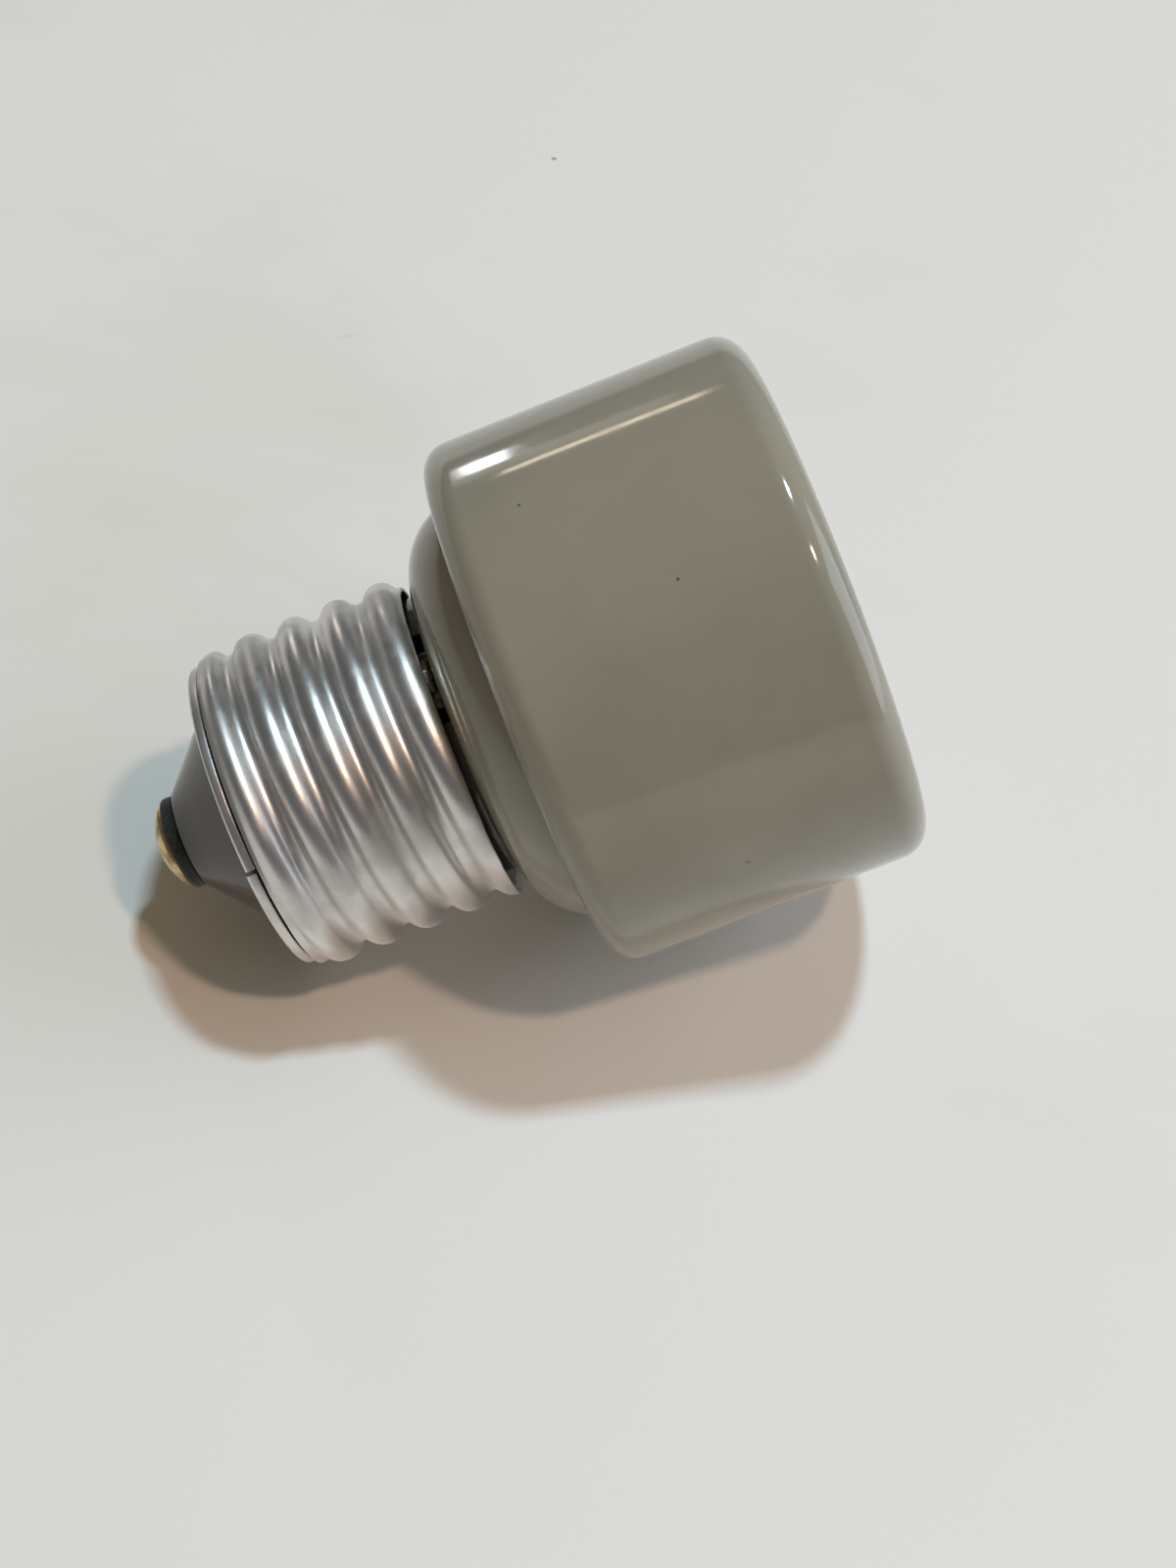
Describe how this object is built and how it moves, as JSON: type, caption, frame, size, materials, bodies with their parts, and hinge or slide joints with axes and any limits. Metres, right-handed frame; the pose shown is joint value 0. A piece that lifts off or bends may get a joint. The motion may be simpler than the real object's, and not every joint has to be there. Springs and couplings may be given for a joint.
{
  "type": "lamp holder extender",
  "caption": "Glazed porcelain lamp holder with a screw base of its own: a round drum with a screw socket in its mouth, a domed collar, and a threaded shell with a coned contact end.",
  "frame": {"origin": "on the axis, in the plane of the mouth rim, which is the lowest face", "axes": "+Z along the axis from the socket mouth towards the base contact; the contact leaf folds towards +X and the strap's screw lies near -Y"},
  "size_m": [0.0432, 0.0432, 0.0569],
  "materials": {
    "glazed_porcelain": "gloss grey-white glaze",
    "rolled_aluminium": "bright rolled",
    "socket_aluminium": "bright rolled",
    "black_fibre": "satin pressed fibre",
    "grey_fibre": "matt pressed fibre",
    "contact_brass": "turned and tarnished",
    "leaf_bronze": "rolled spring bronze",
    "strap_brass": "stamped",
    "screw_steel": "zinc plated",
    "solder": "bright solidified solder"
  },
  "bodies": {
    "holder": {"porcelain_body": "glazed_porcelain", "base_screw_shell": "rolled_aluminium", "base_end_ring": "rolled_aluminium", "tip_washer": "black_fibre", "tip_contact_rod": "contact_brass", "rod_washer": "contact_brass", "contact_insulator": "grey_fibre", "contact_leaf": "leaf_bronze", "socket_screw_shell": "socket_aluminium", "shell_screws": "screw_steel", "shell_nut": "screw_steel", "connecting_strap": "strap_brass", "strap_solder": "solder"},
    "centre_contact": {"contact_button": "contact_brass"}
  },
  "joints": [
    {"name": "contact_press", "type": "slide", "parent": "holder", "child": "centre_contact", "axis": [0, 0, 1], "range_m": [0, 0.0015], "stiffness_N_per_m": 2000, "deforming": ["contact_leaf"]}
  ]
}
